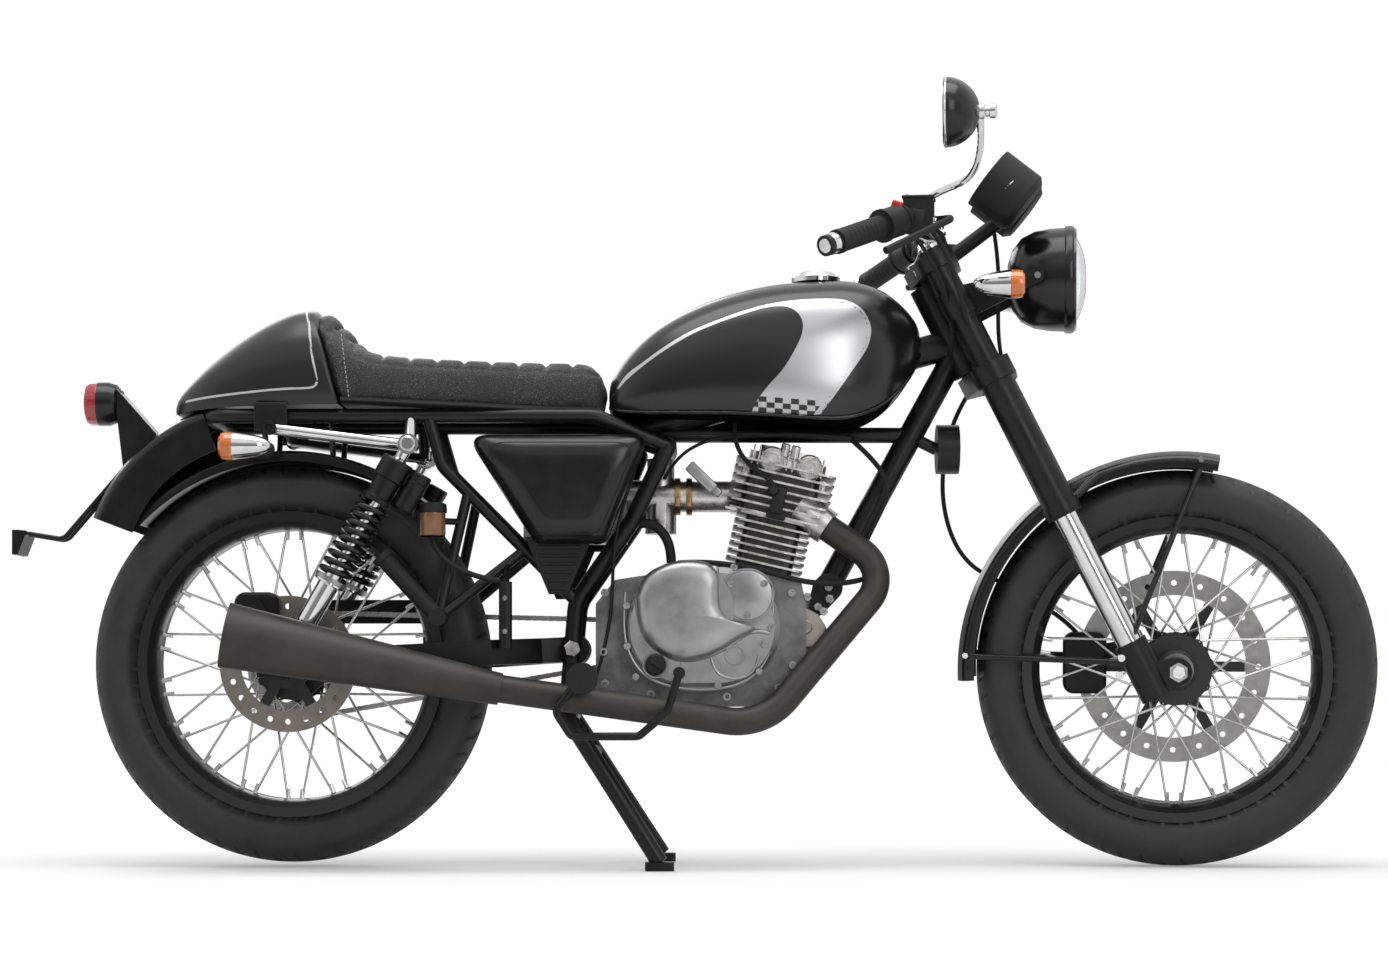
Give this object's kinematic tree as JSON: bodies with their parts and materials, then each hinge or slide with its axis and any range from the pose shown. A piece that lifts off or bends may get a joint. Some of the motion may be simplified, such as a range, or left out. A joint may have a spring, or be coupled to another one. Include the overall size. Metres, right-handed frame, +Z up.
{
  "type": "cafe racer motorcycle",
  "caption": "Road motorcycle with low bars, a long tank, a humped tail, wire wheels and a single upright engine, parked on its centre stand with the wheel turned a little.",
  "frame": {"origin": "on the ground under the middle of the bounding box", "axes": "+X forward, +Y to the rider's left, +Z up"},
  "size_m": [2.0975, 0.7775, 1.1483],
  "materials": {
    "satin_black": "satin",
    "gloss_black": "gloss",
    "cast_alloy": "cast",
    "chrome": "polished",
    "exhaust_steel": "satin",
    "rim_black": "gloss",
    "disc_steel": "brushed",
    "tyre_rubber": "matte",
    "soft_rubber": "matte",
    "grained_cover": "grained",
    "black_plastic": "matte",
    "lens_red": "gloss",
    "lens_orange": "gloss"
  },
  "bodies": {
    "frame": {"frame_spine": "satin_black", "rear_tubes": "satin_black", "rails": "satin_black", "struts": "satin_black", "crankcase": "cast_alloy", "engine_covers": "cast_alloy", "barrel": "cast_alloy", "cylinder_head": "cast_alloy", "intake": "cast_alloy", "header_pipe": "exhaust_steel", "muffler": "exhaust_steel", "swingarm": "satin_black", "rear_axle": "chrome", "shocks": "satin_black", "fuel_tank": "gloss_black", "tank_cap": "chrome", "saddle": "grained_cover", "tail_cowl": "gloss_black", "side_panels": "gloss_black", "rear_guards": "black_plastic", "tail_bracket": "satin_black", "tail_lamp": "lens_red", "rear_indicators": "lens_orange", "chain": "disc_steel", "chain_guard": "black_plastic", "pegs": "soft_rubber", "foot_controls": "satin_black", "rear_hydraulics": "black_plastic", "horn": "satin_black", "rear_caliper": "satin_black"},
    "steering": {"fork_feet": "cast_alloy", "front_axle": "chrome", "stanchions": "chrome", "fork_tubes": "satin_black", "fork_clamps": "satin_black", "handlebar": "chrome", "bar_controls": "black_plastic", "mirror": "black_plastic", "instruments": "black_plastic", "headlight": "satin_black", "headlight_ears": "satin_black", "front_indicators": "lens_orange", "front_guard": "black_plastic", "front_caliper": "satin_black"},
    "front_wheel": {"front_tyre": "tyre_rubber", "front_rim": "rim_black", "front_disc": "disc_steel"},
    "rear_wheel": {"rear_tyre": "tyre_rubber", "rear_rim": "rim_black", "rear_disc": "disc_steel", "rear_sprocket": "disc_steel"},
    "stand": {"centre_stand": "satin_black"}
  },
  "joints": [
    {"name": "steering_turn", "type": "hinge", "parent": "frame", "child": "steering", "pos_m": [0.39309, 0, 0.83169], "axis": [-0.454, 0, 0.891], "range_deg": [-27, 43]},
    {"name": "front_wheel_spin", "type": "hinge", "parent": "steering", "child": "front_wheel", "pos_m": [0.74336, -0.0103, 0.30567], "axis": [0.124, 0.9903, 0.0632], "continuous": true},
    {"name": "rear_wheel_spin", "type": "hinge", "parent": "frame", "child": "rear_wheel", "pos_m": [-0.61939, 0, 0.312], "axis": [0, 1, 0], "continuous": true},
    {"name": "stand_fold", "type": "hinge", "parent": "frame", "child": "stand", "pos_m": [-0.195, 0, 0.236], "axis": [0, 1, 0], "range_deg": [0, 113]}
  ]
}
